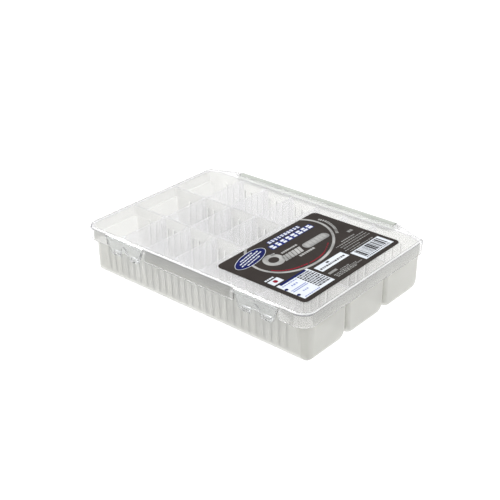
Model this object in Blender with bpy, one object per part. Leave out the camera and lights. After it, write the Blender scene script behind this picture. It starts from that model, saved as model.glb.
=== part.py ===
"""A flat tackle box: a translucent tray of three troughs, lift-out dividers, a clear lid on two steel
pins, two clear latches on the lid's front, and a printed card on the lid.

X runs along the hinge, the latches face -Y, +Z is up, and the origin is under the box's centre.
"""

import math

import bmesh
import bpy
from mathutils import Matrix

# Overall size, in metres
LENGTH = 0.205
WIDTH = 0.145
HEIGHT = 0.040

# Lid
LID_TOP = 0.0394
LID_SKIRT_LOW = 0.0288
LID_PLATE = 0.0017
LID_WALL = 0.0015
LID_CORNER_R = 0.010
LID_EDGE_R = 0.002
LID_BACK_CORNER_R = 0.004
LID_BACK_INSET = 0.0006
LEAST_CORNER_R = 0.001
CHAMFER_X = 0.0265
CHAMFER_Y = 0.0105
BACK_SKIRT_LOW = 0.0358
BACK_SKIRT_Y = 0.0592

# Tray
WALL = 0.0014
ROWS = 3
RIM_TOP = 0.0370
TRAY_HALF_X = 0.0993
TRAY_FRONT_INNER = -0.0677
TRAY_BACK_INNER = 0.0623
PARTITION = 0.0016
DRAFT = 0.031
TROUGH_R = 0.0075
TROUGH_END_R = 0.004
FLOOR = 0.0015
TRAY_FRONT_CORNER_R = 0.009
TRAY_BACK_CORNER_R = 0.003
SHOULDER_LOW = 0.0275
SHOULDER_HALF_X = 0.1006
SHOULDER_FRONT = -0.0703
SHOULDER_CORNER_R = 0.0080
SHOULDER_STEP = 0.0290
TROUGH_TOP = 0.0283
CHAMFER_CLEARANCE = 0.003
CORNER_ROOF = 0.0260

# Slots and dividers
SLOT_PITCH = 0.0064
RIBS_EACH_SIDE = 13
RIB_WIDTH = 0.0016
RIB_DEPTH = 0.0008
RIB_LOW = 0.004
DIVIDERS_PER_ROW = 6
SLOTS_PER_DIVIDER = 4
FIRST_DIVIDER_X = -10.5 * SLOT_PITCH
DIVIDER_WEB = 0.0012
DIVIDER_FLANGE_WIDTH = 0.0042
DIVIDER_FLANGE = 0.0012
DIVIDER_TOP = 0.0364
DIVIDER_GAP = 0.00035

# Hinge
AXIS_Y = 0.0695
AXIS_Z = 0.0370
BAR_R = 0.0030
BAR_HALF = 0.0735
BAR_NOTCH_Y = 0.0660
BAR_WEB_DROP = 0.0002
EAR_INNER_X = 0.0740
EAR_OUTER_X = 0.0773
EAR_R = 0.0024
EAR_BORE_R = 0.00105
BAR_BORE_R = 0.00108
PIN_R = 0.0010
PIN_INNER_X = 0.0665
PIN_OUTER_X = 0.0770

# Latches
LATCH_X = 0.0610
LATCH_HALF_TOP = 0.0185
LATCH_HALF_LOW = 0.0140
LATCH_LOW = 0.0240
LATCH_PLATE = 0.0012
LATCH_FACE = -0.0721
LATCH_AXIS_Y = -0.0715
LATCH_AXIS_Z = 0.0354
LATCH_BARREL_R = 0.0009
LATCH_STUB_R = 0.00055
LATCH_STUB = 0.0016
STUB_BORE_R = 0.00063
WINDOW_HALF = 0.0188
WINDOW_TOP = 0.0373
BOSS = 0.0024
BOSS_BACK = -0.0706
BOSS_DROP = 0.0016
HOOK_INNER = 0.0058
HOOK_OUTER = 0.0118
HOOK_TIP = -0.0693
HOOK_LOW = 0.0252
HOOK_TOP = 0.0270
THUMB_DIP = 0.0042
THUMB_DIP_HALF = 0.0048
LIP = 0.0012
LIP_LOW = 0.0003
LIP_INSET = 0.001
BUTTON_R = 0.0019
BUTTON_Z = 0.0302

# Card on the lid
CARD_X = 0.0540
CARD_Y = -0.0057
CARD_WIDTH = 0.0759
CARD_DEPTH = 0.1079
CARD_R = 0.004
CARD_LOW = 0.03945
CARD_TOP = 0.03975

TOUCH_GAP = 0.0003
BEYOND = 0.002  # how far a tool runs past what it cuts
ARC_STEPS = 6
CORNER_STEPS = 5
BORE_SIDES = 16
EAR_SIDES = 24
BUTTON_SIDES = 24
CORNER_BITE = 0.00003
CORNER_REACH = 0.004
SAME = 1e-6  # points nearer than this are one

ROW_HALF = (TRAY_BACK_INNER - TRAY_FRONT_INNER - (ROWS - 1) * PARTITION) / ROWS / 2
ROW_PITCH = 2 * ROW_HALF + PARTITION
ROW_CENTRES = [TRAY_FRONT_INNER + ROW_HALF + row * ROW_PITCH for row in range(ROWS)]
ROW_NAMES = ("front", "middle", "back")

COLOURS = {
    "tray": ((0.80, 0.80, 0.77, 0.62), 0.32, 0.0),
    "divider": ((0.86, 0.87, 0.88, 0.45), 0.28, 0.0),
    "lid": ((0.90, 0.92, 0.95, 0.28), 0.10, 0.0),
    "latch": ((0.82, 0.86, 0.92, 0.40), 0.08, 0.0),
    "pin": ((0.45, 0.45, 0.46, 1.0), 0.25, 1.0),
    "card": ((0.050, 0.040, 0.036, 1.0), 0.45, 0.0),
}


def clear_scene():
    for obj in list(bpy.data.objects):
        bpy.data.objects.remove(obj)


def new_collection(name):
    collection = bpy.data.collections.new(name)
    bpy.context.scene.collection.children.link(collection)
    return collection


def material(name, slot):
    """A Principled material of its own for one object."""
    colour, roughness, metallic = COLOURS[slot]
    made = bpy.data.materials.new(name)
    made.use_nodes = True
    shader = made.node_tree.nodes["Principled BSDF"]
    shader.inputs["Base Color"].default_value = colour[:3] + (1.0,)
    shader.inputs["Alpha"].default_value = colour[3]
    shader.inputs["Roughness"].default_value = roughness
    shader.inputs["Metallic"].default_value = metallic
    return made


def object_from(name, shape, collection):
    mesh = bpy.data.meshes.new(name)
    shape.to_mesh(mesh)
    shape.free()
    obj = bpy.data.objects.new(name, mesh)
    collection.objects.link(obj)
    return obj


def as_cutter(obj):
    obj.hide_render = True
    obj.display_type = "WIRE"
    return obj


def combine(target, tool, operation):
    modifier = target.modifiers.new(f"{operation.title()} {tool.name}", "BOOLEAN")
    modifier.operation = operation
    modifier.solver = "EXACT"
    modifier.object = tool


def arc(centre, radius, start, end, steps=ARC_STEPS):
    """Points on a circle, from one angle to another in degrees, both ends included."""
    angles = [math.radians(start + (end - start) * i / steps) for i in range(steps + 1)]
    return [(centre[0] + radius * math.cos(a), centre[1] + radius * math.sin(a)) for a in angles]


def rounded(corners, radii, steps=ARC_STEPS):
    """An outline through the corners, anticlockwise, each one rounded by its radius."""
    points = []
    count = len(corners)
    for i, (corner, radius) in enumerate(zip(corners, radii)):
        before = corners[i - 1]
        after = corners[(i + 1) % count]
        into = math.atan2(corner[1] - before[1], corner[0] - before[0])
        out = math.atan2(after[1] - corner[1], after[0] - corner[0])
        turn = (out - into) % (2 * math.pi)
        if radius == 0:
            points.append(corner)
            continue
        back = radius * math.tan(turn / 2)
        centre = (
            corner[0] - back * math.cos(into) - radius * math.sin(into),
            corner[1] - back * math.sin(into) + radius * math.cos(into),
        )
        start = math.degrees(into) - 90
        points += arc(centre, radius, start, start + math.degrees(turn), steps)
    return points


def plan_solid(outline, low, high):
    """The outline in plan, filled, from one height to another."""
    curve = bpy.data.curves.new("outline", "CURVE")
    curve.dimensions = "2D"
    curve.fill_mode = "BOTH"
    curve.extrude = (high - low) / 2
    spline = curve.splines.new("POLY")
    spline.points.add(len(outline) - 1)
    for point, (x, y) in zip(spline.points, outline):
        point.co = (x, y, 0.0, 1.0)
    spline.use_cyclic_u = True
    guide = bpy.data.objects.new("outline", curve)
    bpy.context.scene.collection.objects.link(guide)
    evaluated = guide.evaluated_get(bpy.context.evaluated_depsgraph_get())
    mesh = bpy.data.meshes.new_from_object(evaluated)
    shape = bmesh.new()
    shape.from_mesh(mesh)
    bpy.data.objects.remove(guide)
    bpy.data.curves.remove(curve)
    bpy.data.meshes.remove(mesh)
    bmesh.ops.remove_doubles(shape, verts=shape.verts, dist=SAME)
    flat = math.radians(0.5)
    bmesh.ops.dissolve_limit(shape, angle_limit=flat, verts=shape.verts, edges=shape.edges)
    bmesh.ops.translate(shape, verts=shape.verts, vec=(0, 0, (low + high) / 2))
    bmesh.ops.recalc_face_normals(shape, faces=shape.faces)
    return shape


def section_solid(outline, x_low, x_high):
    """The outline in Y and Z, filled, from one X to another."""
    shape = plan_solid(outline, x_low, x_high)
    turn = Matrix(((0, 0, 1, 0), (1, 0, 0, 0), (0, 1, 0, 0), (0, 0, 0, 1)))
    bmesh.ops.transform(shape, matrix=turn, verts=shape.verts)
    return shape


def box_solid(x_range, y_range, z_range):
    shape = bmesh.new()
    bmesh.ops.create_cube(shape, size=1.0)
    sides = [high - low for low, high in (x_range, y_range, z_range)]
    middle = [(high + low) / 2 for low, high in (x_range, y_range, z_range)]
    bmesh.ops.scale(shape, verts=shape.verts, vec=sides)
    bmesh.ops.translate(shape, verts=shape.verts, vec=middle)
    return shape


def rod_solid(radius, x_low, x_high, y, z, sides=24):
    """A round bar along X."""
    shape = bmesh.new()
    bmesh.ops.create_cone(
        shape, cap_ends=True, segments=sides, radius1=radius, radius2=radius, depth=x_high - x_low
    )
    bmesh.ops.rotate(shape, verts=shape.verts, matrix=Matrix.Rotation(math.pi / 2, 3, "Y"))
    bmesh.ops.translate(shape, verts=shape.verts, vec=((x_low + x_high) / 2, y, z))
    return shape


def merged(shapes):
    """Several solids in one mesh, for tools whose pieces don't touch each other."""
    whole = bmesh.new()
    for shape in shapes:
        mesh = bpy.data.meshes.new("part of a tool")
        shape.to_mesh(mesh)
        shape.free()
        whole.from_mesh(mesh)
        bpy.data.meshes.remove(mesh)
    return whole


def bevel_where(shape, radius, steps, wanted):
    edges = [edge for edge in shape.edges if wanted(edge)]
    how = {"segments": steps, "profile": 0.5, "affect": "EDGES", "clamp_overlap": False}
    bmesh.ops.bevel(shape, geom=edges, offset=radius, **how)


def wall_half(z, inset=0.0):
    """Half the clear width of a trough at a height, less an inset."""
    return ROW_HALF - DRAFT * (RIM_TOP - z) - inset


def trough_section(centre, half_top, half_low, low, high, radius):
    """A U with leaning sides and round bottom corners, in Y and Z."""
    corners = [
        (centre + half_top, high),
        (centre - half_top, high),
        (centre - half_low, low),
        (centre + half_low, low),
    ]
    return rounded(corners, [0, 0, radius, radius])


def trough_outer(centre):
    half_top = wall_half(TROUGH_TOP, -WALL)
    half_low = wall_half(0.0, -WALL)
    section = trough_section(centre, half_top, half_low, 0.0, TROUGH_TOP, TROUGH_R)
    shape = section_solid(section, -TRAY_HALF_X, TRAY_HALF_X)

    def end_rim(edge):
        at_one_end = edge.verts[0].co.x * edge.verts[1].co.x > 0
        return at_one_end and any(v.co.z < TROUGH_TOP - SAME for v in edge.verts)

    bevel_where(shape, TROUGH_END_R, 4, end_rim)
    return shape


def trough_inner(centre, half_x):
    top = RIM_TOP + BEYOND
    section = trough_section(
        centre, wall_half(top), wall_half(FLOOR), FLOOR, top, TROUGH_R - WALL
    )
    return section_solid(section, -half_x, half_x)


def back_chamfer(offset):
    """The lid's chamfer line, moved inwards: corner X on the side wall's line and Y on the back's."""
    run = math.hypot(CHAMFER_X, CHAMFER_Y)
    normal = (CHAMFER_Y / run, CHAMFER_X / run)
    start = (LENGTH / 2, WIDTH / 2 - CHAMFER_Y)
    reach = normal[0] * start[0] + normal[1] * start[1] - offset
    return normal, reach


def chamfered_outline(half_x, front, back, corner_r, offset, back_r, steps=ARC_STEPS):
    """A plan outline with two round front corners and two chamfered back corners."""
    normal, reach = back_chamfer(offset)
    side_y = (reach - normal[0] * half_x) / normal[1]
    back_x = (reach - normal[1] * back) / normal[0]
    corners = [
        (-half_x, front),
        (half_x, front),
        (half_x, side_y),
        (back_x, back),
        (-back_x, back),
        (-half_x, side_y),
    ]
    return rounded(corners, [corner_r, corner_r, back_r, back_r, back_r, back_r], steps)


def corner_shape(x, y, radius, low, high):
    """What rounding one upright corner takes away: x and y are the corner's, with their signs."""
    side_x = math.copysign(1, x)
    side_y = math.copysign(1, y)
    x -= side_x * CORNER_BITE
    y -= side_y * CORNER_BITE
    centre = (x - side_x * radius, y - side_y * radius)
    round_off = arc((0.0, 0.0), radius, 0, 90, CORNER_STEPS)
    outline = [(centre[0] + side_x * dx, centre[1] + side_y * dy) for dx, dy in round_off]
    outline += [
        (centre[0], y + side_y * CORNER_REACH),
        (x + side_x * CORNER_REACH, y + side_y * CORNER_REACH),
        (x + side_x * CORNER_REACH, centre[1]),
    ]
    return plan_solid(outline, low, high)


def front_corner_shapes(half_x, front, radius):
    return merged(
        corner_shape(side * half_x, front, radius, -BEYOND, HEIGHT + BEYOND) for side in (-1, 1)
    )


def cavity_tool(cutters):
    """What is taken out of the tray: a ribbed, round-bottomed trough and a wider mouth in each row."""
    half_x = TRAY_HALF_X - WALL
    tool = as_cutter(object_from("cut_troughs", trough_inner(ROW_CENTRES[0], half_x), cutters))
    for row in range(1, ROWS):
        inner = trough_inner(ROW_CENTRES[row], half_x)
        more = object_from(f"cut_trough_{ROW_NAMES[row]}", inner, cutters)
        combine(tool, as_cutter(more), "UNION")
    front = ROW_CENTRES[0] - wall_half(SHOULDER_STEP)
    corners = front_corner_shapes(half_x, front, TRAY_FRONT_CORNER_R - WALL)
    combine(tool, as_cutter(object_from("round_inner_corners", corners, cutters)), "DIFFERENCE")
    combine(tool, as_cutter(object_from("leave_ribs", rib_solids(), cutters)), "DIFFERENCE")
    for row, centre in enumerate(ROW_CENTRES):
        combine(tool, mouth_tool(row, centre, cutters), "UNION")
    combine(tool, corner_roofs(cutters), "DIFFERENCE")
    return tool


def corner_roofs(cutters):
    """Closes the back row's two corners from above, outside the chamfer that clears the lid's ears."""
    inner = chamfered_outline(
        SHOULDER_HALF_X + WALL,
        SHOULDER_FRONT - WALL,
        TRAY_BACK_INNER + WALL,
        SHOULDER_CORNER_R,
        CHAMFER_CLEARANCE + WALL,
        0.0,
    )
    back_half = (ROW_CENTRES[-1] - ROW_HALF / 2, WIDTH)
    block = box_solid((-LENGTH, LENGTH), back_half, (CORNER_ROOF, LENGTH))
    roofs = as_cutter(object_from("corner_roofs", block, cutters))
    tall = plan_solid(inner, 0.0, 2 * LENGTH)
    inside = as_cutter(object_from("inside_the_chamfer", tall, cutters))
    combine(roofs, inside, "DIFFERENCE")
    return roofs


def mouth_tool(row, centre, cutters):
    """The wider top of one row, where the wall steps out behind the lid's skirt."""
    half_x = SHOULDER_HALF_X - WALL
    low_y = centre - ROW_HALF
    high_y = centre + ROW_HALF
    radii = [0, 0, 0, 0]
    if row == 0:
        low_y = SHOULDER_FRONT + WALL
        radii = [SHOULDER_CORNER_R - WALL, SHOULDER_CORNER_R - WALL, 0, 0]
    corners = [(-half_x, low_y), (half_x, low_y), (half_x, high_y), (-half_x, high_y)]
    shape = plan_solid(rounded(corners, radii), SHOULDER_STEP, RIM_TOP + BEYOND)
    return as_cutter(object_from(f"cut_mouth_{ROW_NAMES[row]}", shape, cutters))


def rib_solids():
    """The upright ribs on both walls of every row, which hold the dividers' flanges."""
    top = SHOULDER_STEP + WALL / 2
    shapes = []
    for centre in ROW_CENTRES:
        for side in (-1, 1):
            low_wall = centre + side * wall_half(RIB_LOW)
            high_wall = centre + side * wall_half(top)
            root = side * WALL / 2
            tip = -side * RIB_DEPTH
            section = [
                (low_wall + root, RIB_LOW),
                (low_wall + tip, RIB_LOW),
                (high_wall + tip, top),
                (high_wall + root, top),
            ]
            if side < 0:
                section.reverse()
            for index in range(-RIBS_EACH_SIDE, RIBS_EACH_SIDE + 1):
                x = index * SLOT_PITCH
                shapes.append(section_solid(section, x - RIB_WIDTH / 2, x + RIB_WIDTH / 2))
    return merged(shapes)


def shoulder_solid():
    """The wider rim that carries the lid, with its two chamfered back corners."""
    outline = chamfered_outline(
        SHOULDER_HALF_X,
        SHOULDER_FRONT,
        TRAY_BACK_INNER + WALL,
        SHOULDER_CORNER_R,
        CHAMFER_CLEARANCE,
        TRAY_BACK_CORNER_R,
    )
    return plan_solid(outline, SHOULDER_LOW, RIM_TOP)


def bar_web():
    """Joins the hinge bar to the back wall."""
    depth = (TRAY_BACK_INNER + WALL / 2, AXIS_Y)
    return box_solid((-BAR_HALF, BAR_HALF), depth, (AXIS_Z - BAR_R, AXIS_Z - BAR_WEB_DROP))


def bar_bores():
    inner = PIN_INNER_X - TOUCH_GAP
    outer = BAR_HALF + BEYOND
    return merged(
        rod_solid(BAR_BORE_R, *sorted((side * inner, side * outer)), AXIS_Y, AXIS_Z, BORE_SIDES)
        for side in (-1, 1)
    )


def make_tray(parts, cutters):
    tray = object_from("tray", trough_outer(ROW_CENTRES[0]), parts)
    for row in range(1, ROWS):
        more = object_from(f"add_trough_{ROW_NAMES[row]}", trough_outer(ROW_CENTRES[row]), cutters)
        combine(tray, as_cutter(more), "UNION")
    front = ROW_CENTRES[0] - wall_half(TROUGH_TOP, -WALL)
    corners = front_corner_shapes(TRAY_HALF_X, front, TRAY_FRONT_CORNER_R)
    combine(tray, as_cutter(object_from("round_tray_corners", corners, cutters)), "DIFFERENCE")
    combine(tray, as_cutter(object_from("add_shoulder", shoulder_solid(), cutters)), "UNION")
    combine(tray, as_cutter(object_from("add_bar_web", bar_web(), cutters)), "UNION")
    bar = rod_solid(BAR_R, -BAR_HALF, BAR_HALF, AXIS_Y, AXIS_Z)
    combine(tray, as_cutter(object_from("add_hinge_bar", bar, cutters)), "UNION")
    combine(tray, cavity_tool(cutters), "DIFFERENCE")
    combine(tray, as_cutter(object_from("cut_bar_bores", bar_bores(), cutters)), "DIFFERENCE")
    tray.data.materials.append(material("tray plastic", "tray"))
    return tray


def divider_mesh(cutters):
    """One divider about X = 0, in a row centred on Y = 0: a web with a flange at each end."""
    low = FLOOR + DIVIDER_GAP
    section = trough_section(
        0.0,
        wall_half(DIVIDER_TOP, DIVIDER_GAP),
        wall_half(low, DIVIDER_GAP),
        low,
        DIVIDER_TOP,
        TROUGH_R - WALL,
    )
    divider = object_from("divider", section_solid(section, -DIVIDER_WEB / 2, DIVIDER_WEB / 2), cutters)
    flange_low = FLOOR + TROUGH_R
    flanges = []
    for side in (-1, 1):
        top = side * wall_half(DIVIDER_TOP, DIVIDER_GAP)
        foot = side * wall_half(flange_low, DIVIDER_GAP)
        strip = [
            (foot, flange_low),
            (top, DIVIDER_TOP),
            (top - side * DIVIDER_FLANGE, DIVIDER_TOP),
            (foot - side * DIVIDER_FLANGE, flange_low),
        ]
        if side < 0:
            strip.reverse()
        flanges.append(section_solid(strip, -DIVIDER_FLANGE_WIDTH / 2, DIVIDER_FLANGE_WIDTH / 2))
    tool = as_cutter(object_from("add_flanges", merged(flanges), cutters))
    combine(divider, tool, "UNION")
    evaluated = divider.evaluated_get(bpy.context.evaluated_depsgraph_get())
    mesh = bpy.data.meshes.new_from_object(evaluated)
    mesh.name = "divider"
    bpy.data.objects.remove(divider)
    bpy.data.objects.remove(tool)
    return mesh


def make_dividers(parts, cutters):
    shared = divider_mesh(cutters)
    for row, centre in enumerate(ROW_CENTRES):
        for index in range(DIVIDERS_PER_ROW):
            name = f"divider_{ROW_NAMES[row]}_{index + 1}"
            divider = bpy.data.objects.new(name, shared.copy())
            x = FIRST_DIVIDER_X + index * SLOTS_PER_DIVIDER * SLOT_PITCH
            divider.location = (x, centre, 0.0)
            divider.data.materials.append(material(name, "divider"))
            parts.objects.link(divider)


def lid_outline(inset, steps=ARC_STEPS):
    return chamfered_outline(
        LENGTH / 2 - inset,
        -WIDTH / 2 + inset,
        WIDTH / 2 - inset - LID_BACK_INSET,
        LID_CORNER_R - inset,
        inset,
        max(LID_BACK_CORNER_R - inset, LEAST_CORNER_R),
        steps,
    )


def lid_shell():
    """The lid's outside, filled, with a round edge along the top."""
    shell = plan_solid(lid_outline(0.0), LID_SKIRT_LOW, LID_TOP)

    def top_rim(edge):
        level = all(v.co.z > LID_TOP - SAME for v in edge.verts)
        return level and any(face.normal.z < 0.5 for face in edge.link_faces)

    bevel_where(shell, LID_EDGE_R, 4, top_rim)
    return shell


def ear_rods(radius, inner_x, outer_x, sides):
    """The lid's two ears on the hinge's axis, or the bores through them."""
    return merged(
        rod_solid(radius, *sorted((side * inner_x, side * outer_x)), AXIS_Y, AXIS_Z, sides)
        for side in (-1, 1)
    )


def latch_mount_tools():
    """For both latches: the bosses beside them, the windows they fill and the bores for their stubs."""
    bosses = []
    windows = []
    bores = []
    for side in (-1, 1):
        x = side * LATCH_X
        half = WINDOW_HALF + BOSS
        boss_y = (-WIDTH / 2 + LID_WALL / 2, BOSS_BACK)
        boss_z = (LATCH_AXIS_Z - BOSS_DROP, LID_TOP - LID_PLATE / 2)
        bosses.append(box_solid((x - half, x + half), boss_y, boss_z))
        window_y = (-WIDTH / 2 - BEYOND, BOSS_BACK + BEYOND / 2)
        window_z = (LID_SKIRT_LOW - BEYOND, WINDOW_TOP)
        windows.append(box_solid((x - WINDOW_HALF, x + WINDOW_HALF), window_y, window_z))
        reach = LATCH_HALF_TOP + LATCH_STUB + TOUCH_GAP
        bores.append(
            rod_solid(STUB_BORE_R, x - reach, x + reach, LATCH_AXIS_Y, LATCH_AXIS_Z, BORE_SIDES)
        )
    return merged(bosses), merged(windows), merged(bores)


def make_lid(parts, cutters):
    lid = object_from("lid", lid_shell(), parts)
    inside = plan_solid(lid_outline(LID_WALL), LID_SKIRT_LOW - BEYOND, LID_TOP - LID_PLATE)
    below = LID_SKIRT_LOW - BEYOND
    low_back = box_solid((-LENGTH, LENGTH), (BACK_SKIRT_Y, WIDTH), (below, BACK_SKIRT_LOW))
    notch = box_solid((-EAR_INNER_X, EAR_INNER_X), (BAR_NOTCH_Y, WIDTH), (below, HEIGHT + BEYOND))
    ears = ear_rods(EAR_R, EAR_INNER_X, EAR_OUTER_X, EAR_SIDES)
    bores = ear_rods(EAR_BORE_R, EAR_INNER_X - BEYOND, EAR_OUTER_X + BEYOND, BORE_SIDES)
    bosses, windows, stub_bores = latch_mount_tools()
    steps = (
        ("cut_lid_inside", inside, "DIFFERENCE"),
        ("cut_lid_back_skirt", low_back, "DIFFERENCE"),
        ("cut_bar_notch", notch, "DIFFERENCE"),
        ("add_ears", ears, "UNION"),
        ("cut_ear_bores", bores, "DIFFERENCE"),
        ("add_latch_bosses", bosses, "UNION"),
        ("cut_latch_windows", windows, "DIFFERENCE"),
        ("cut_stub_bores", stub_bores, "DIFFERENCE"),
    )
    for name, shape, operation in steps:
        combine(lid, as_cutter(object_from(name, shape, cutters)), operation)
    lid.data.materials.append(material("lid plastic", "lid"))
    return lid


def latch_front():
    """The latch seen from the front, in X and Z: it narrows downwards and dips round the button."""
    dip = arc((0.0, LATCH_LOW), THUMB_DIP_HALF, 180, 0)
    dip = [(x, LATCH_LOW + (z - LATCH_LOW) * THUMB_DIP / THUMB_DIP_HALF) for x, z in dip]
    right = rounded(
        [(THUMB_DIP_HALF, LATCH_LOW), (LATCH_HALF_LOW, LATCH_LOW), (LATCH_HALF_TOP, LATCH_AXIS_Z)],
        [0, 0.003, 0],
    )
    left = [(-x, z) for x, z in reversed(right)]
    return right + left + dip[1:-1]


def front_solid(outline, y_low, y_high):
    """The outline in X and Z, filled, from one Y to another."""
    shape = plan_solid(outline, -y_high, -y_low)
    turn = Matrix(((1, 0, 0, 0), (0, 0, -1, 0), (0, 1, 0, 0), (0, 0, 0, 1)))
    bmesh.ops.transform(shape, matrix=turn, verts=shape.verts)
    return shape


def from_latch_axis(*point):
    """A point in Y and Z, taken from the latch's own axis."""
    return (point[0] - LATCH_AXIS_Y, point[1] - LATCH_AXIS_Z)


def latch_boxes(inner_x, outer_x, y_low, y_high, z_low, z_high):
    """A box on each side of the latch's middle."""
    low_y, low_z = from_latch_axis(y_low, z_low)
    high_y, high_z = from_latch_axis(y_high, z_high)
    return merged(
        box_solid(sorted((side * inner_x, side * outer_x)), (low_y, high_y), (low_z, high_z))
        for side in (-1, 1)
    )


def latch_button():
    """The round pad over the dip that a thumb pushes."""
    depth = LATCH_FACE + LATCH_PLATE / 2 + WIDTH / 2
    shape = rod_solid(BUTTON_R, -depth / 2, depth / 2, 0, 0, BUTTON_SIDES)
    bmesh.ops.rotate(shape, verts=shape.verts, matrix=Matrix.Rotation(math.pi / 2, 3, "Z"))
    middle = from_latch_axis(-WIDTH / 2 + depth / 2, BUTTON_Z)
    bmesh.ops.translate(shape, verts=shape.verts, vec=(0, *middle))
    return shape


def make_latch(name, x, parts, cutters):
    """A plate that swings on two stubs, with a hook that catches under the tray's shoulder."""
    plate = front_solid(latch_front(), LATCH_FACE, LATCH_FACE + LATCH_PLATE)
    bmesh.ops.translate(plate, verts=plate.verts, vec=(0, *from_latch_axis(0, 0)))
    latch = object_from(name, plate, parts)
    latch.location = (x, LATCH_AXIS_Y, LATCH_AXIS_Z)
    half = LATCH_HALF_TOP
    reach = half + LATCH_STUB
    middle_y = LATCH_FACE + LATCH_PLATE / 2
    lip_x = (THUMB_DIP_HALF + LIP_INSET, LATCH_HALF_LOW - LIP_INSET)
    tools = (
        ("barrel", rod_solid(LATCH_BARREL_R, -half, half, 0, 0, BORE_SIDES)),
        ("stubs", rod_solid(LATCH_STUB_R, -reach, reach, 0, 0, BORE_SIDES)),
        ("hooks", latch_boxes(HOOK_INNER, HOOK_OUTER, middle_y, HOOK_TIP, HOOK_LOW, HOOK_TOP)),
        ("lip", latch_boxes(*lip_x, -WIDTH / 2, middle_y, LATCH_LOW + LIP_LOW, LATCH_LOW + LIP)),
        ("button", latch_button()),
    )
    for label, shape in tools:
        tool = as_cutter(object_from(f"{name}_{label}", shape, cutters))
        tool.location = latch.location
        combine(latch, tool, "UNION")
    latch.data.materials.append(material(name, "latch"))
    return latch


def make_pins(parts):
    for side, name in ((-1, "hinge_pin_left"), (1, "hinge_pin_right")):
        span = sorted((side * PIN_INNER_X, side * PIN_OUTER_X))
        shape = rod_solid(PIN_R, *span, 0, 0, BORE_SIDES)
        pin = object_from(name, shape, parts)
        pin.location = (0, AXIS_Y, AXIS_Z)
        pin.data.materials.append(material(name, "pin"))


def make_card(parts):
    half_x = CARD_WIDTH / 2
    half_y = CARD_DEPTH / 2
    corners = [(-half_x, -half_y), (half_x, -half_y), (half_x, half_y), (-half_x, half_y)]
    shape = plan_solid(rounded(corners, [CARD_R] * 4), CARD_LOW, CARD_TOP)
    bmesh.ops.translate(shape, verts=shape.verts, vec=(CARD_X, CARD_Y, 0))
    card = object_from("lid_card", shape, parts)
    card.data.materials.append(material("lid card", "card"))


def hinge_to_lid(lid):
    """Latches, pins and card hang from an empty on the hinge's axis, so the lid swings with them."""
    axis = bpy.data.objects.new("lid_axis", None)
    axis.location = (0, AXIS_Y, AXIS_Z)
    bpy.context.scene.collection.objects.link(axis)
    bpy.context.view_layer.update()
    for obj in [lid] + [bpy.data.objects[name] for name in LID_PIECES]:
        obj.parent = axis
        obj.matrix_parent_inverse = axis.matrix_world.inverted()


LID_PIECES = ("latch_left", "latch_right", "hinge_pin_left", "hinge_pin_right", "lid_card")


def main():
    clear_scene()
    parts = new_collection("tackle box")
    cutters = new_collection("cutters")
    make_tray(parts, cutters)
    make_dividers(parts, cutters)
    lid = make_lid(parts, cutters)
    make_latch("latch_left", -LATCH_X, parts, cutters)
    make_latch("latch_right", LATCH_X, parts, cutters)
    make_pins(parts)
    make_card(parts)
    hinge_to_lid(lid)


main()
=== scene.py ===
"""The tackle box around its CAD frame: plastic shells, steel pins, printed card, floor, lights, camera."""

import math
import random

import bmesh
import bpy
from mathutils import Matrix, Vector


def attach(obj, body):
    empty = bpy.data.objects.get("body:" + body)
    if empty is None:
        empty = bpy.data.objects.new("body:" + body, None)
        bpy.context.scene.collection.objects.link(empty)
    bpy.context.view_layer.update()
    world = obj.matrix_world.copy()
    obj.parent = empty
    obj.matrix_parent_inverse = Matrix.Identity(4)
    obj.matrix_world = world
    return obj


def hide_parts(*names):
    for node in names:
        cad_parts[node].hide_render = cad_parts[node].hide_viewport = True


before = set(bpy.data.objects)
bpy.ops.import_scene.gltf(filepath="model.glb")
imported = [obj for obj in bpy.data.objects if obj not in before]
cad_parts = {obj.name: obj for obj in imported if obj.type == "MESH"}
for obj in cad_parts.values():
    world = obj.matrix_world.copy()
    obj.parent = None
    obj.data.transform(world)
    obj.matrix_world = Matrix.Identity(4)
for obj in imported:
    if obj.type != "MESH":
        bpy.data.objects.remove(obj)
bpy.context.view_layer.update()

# Overall size and lid, in metres, as in the CAD
LENGTH = 0.205
WIDTH = 0.145
LID_TOP = 0.0394
LID_SKIRT_LOW = 0.0288
LID_PLATE = 0.0017
LID_WALL = 0.0015
LID_CORNER_R = 0.010
LID_EDGE_R = 0.002
LID_INNER_R = 0.0008
LID_BACK_CORNER_R = 0.004
LID_BACK_INSET = 0.0006
CHAMFER_X = 0.0265
CHAMFER_Y = 0.0105
BACK_SKIRT_LOW = 0.0358
BACK_SKIRT_Y = 0.0592

# Tray
WALL = 0.0014
ROWS = 3
RIM_TOP = 0.0370
TRAY_HALF_X = 0.0993
TRAY_FRONT_INNER = -0.0677
TRAY_BACK_INNER = 0.0623
PARTITION = 0.0016
DRAFT = 0.031
TROUGH_R = 0.0075
TROUGH_END_R = 0.004
FLOOR = 0.0015
TRAY_FRONT_CORNER_R = 0.009
SHOULDER_LOW = 0.0275
SHOULDER_HALF_X = 0.1006
SHOULDER_FRONT = -0.0703
SHOULDER_CORNER_R = 0.0080
SHOULDER_BACK_R = 0.003
SHOULDER_STEP = 0.0290
TROUGH_TOP = 0.0283
CHAMFER_CLEARANCE = 0.003
CORNER_ROOF = 0.0260

# Slots and dividers
SLOT_PITCH = 0.0064
RIBS_EACH_SIDE = 13
RIB_WIDTH = 0.0016
RIB_DEPTH = 0.0008
RIB_LOW = 0.004
DIVIDERS_PER_ROW = 6
SLOTS_PER_DIVIDER = 4
FIRST_DIVIDER_X = -10.5 * SLOT_PITCH
DIVIDER_WEB = 0.0012
DIVIDER_FLANGE_WIDTH = 0.0042
DIVIDER_FLANGE = 0.0012
DIVIDER_TOP = 0.0364
DIVIDER_GAP = 0.00035

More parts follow.
